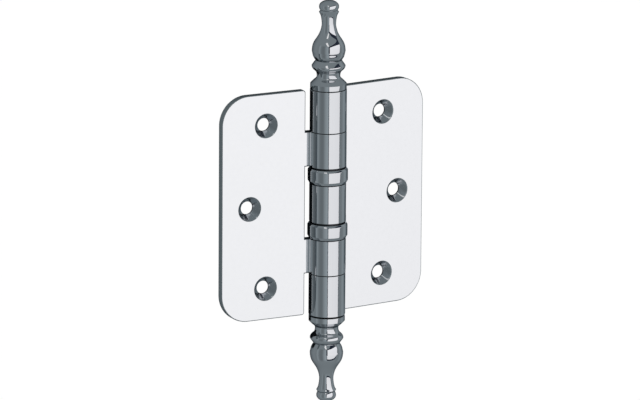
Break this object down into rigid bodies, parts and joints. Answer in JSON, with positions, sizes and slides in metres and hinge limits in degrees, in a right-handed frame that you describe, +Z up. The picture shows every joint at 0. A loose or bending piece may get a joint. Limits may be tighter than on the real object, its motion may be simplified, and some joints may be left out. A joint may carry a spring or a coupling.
{
  "type": "ball bearing hinge",
  "caption": "Square butt hinge with rounded corners, ball bearings between its knuckles and turned finials on its pin, for hanging a door.",
  "frame": {"origin": "middle of the frame leaf's fixing face, at half the hinge's height", "axes": "+Z up along the pin, +Y out of the back of the frame leaf into the door frame, +X from the pin towards the frame leaf's outer edge"},
  "size_m": [0.1015, 0.0194, 0.1822],
  "materials": {
    "polished_chrome": "polished chrome plate",
    "ground_steel": "ground steel",
    "oiled_steel": "black oxide, oiled",
    "ball_steel": "lapped bearing steel",
    "cage_brass": "stamped brass"
  },
  "bodies": {
    "frame": {"frame_leaf": "polished_chrome", "upper_bearing_cup": "polished_chrome", "lower_bearing_race": "oiled_steel"},
    "door": {"door_leaf": "polished_chrome", "upper_bearing_race": "oiled_steel", "lower_bearing_cup": "polished_chrome"},
    "pin": {"hinge_pin": "ground_steel", "finial_top": "polished_chrome", "finial_bottom": "polished_chrome"},
    "upper_cage": {"upper_bearing_cage": "cage_brass", "upper_bearing_ball_01": "ball_steel", "upper_bearing_ball_02": "ball_steel", "upper_bearing_ball_03": "ball_steel", "upper_bearing_ball_04": "ball_steel", "upper_bearing_ball_05": "ball_steel", "upper_bearing_ball_06": "ball_steel", "upper_bearing_ball_07": "ball_steel", "upper_bearing_ball_08": "ball_steel", "upper_bearing_ball_09": "ball_steel", "upper_bearing_ball_10": "ball_steel", "upper_bearing_ball_11": "ball_steel", "upper_bearing_ball_12": "ball_steel"},
    "lower_cage": {"lower_bearing_cage": "cage_brass", "lower_bearing_ball_01": "ball_steel", "lower_bearing_ball_02": "ball_steel", "lower_bearing_ball_03": "ball_steel", "lower_bearing_ball_04": "ball_steel", "lower_bearing_ball_05": "ball_steel", "lower_bearing_ball_06": "ball_steel", "lower_bearing_ball_07": "ball_steel", "lower_bearing_ball_08": "ball_steel", "lower_bearing_ball_09": "ball_steel", "lower_bearing_ball_10": "ball_steel", "lower_bearing_ball_11": "ball_steel", "lower_bearing_ball_12": "ball_steel"}
  },
  "joints": [
    {"name": "leaf_swing", "type": "hinge", "parent": "frame", "child": "door", "pos_m": [-0.0307, -0.005, 0], "axis": [0, 0, 1], "range_deg": [-115, 186.3]},
    {"name": "pin_spin", "type": "hinge", "parent": "frame", "child": "pin", "pos_m": [-0.0307, -0.005, 0], "axis": [0, 0, 1], "continuous": true},
    {"name": "upper_cage_turn", "type": "hinge", "parent": "frame", "child": "upper_cage", "pos_m": [-0.0307, -0.005, 0.01245], "axis": [0, 0, 1], "range_deg": [-57.5, 93.15]},
    {"name": "lower_cage_turn", "type": "hinge", "parent": "frame", "child": "lower_cage", "pos_m": [-0.0307, -0.005, -0.01245], "axis": [0, 0, 1], "range_deg": [-57.5, 93.15]}
  ],
  "couplings": [
    {"joint": "upper_cage_turn", "follows": "leaf_swing", "ratio": 0.5},
    {"joint": "lower_cage_turn", "follows": "leaf_swing", "ratio": 0.5}
  ]
}
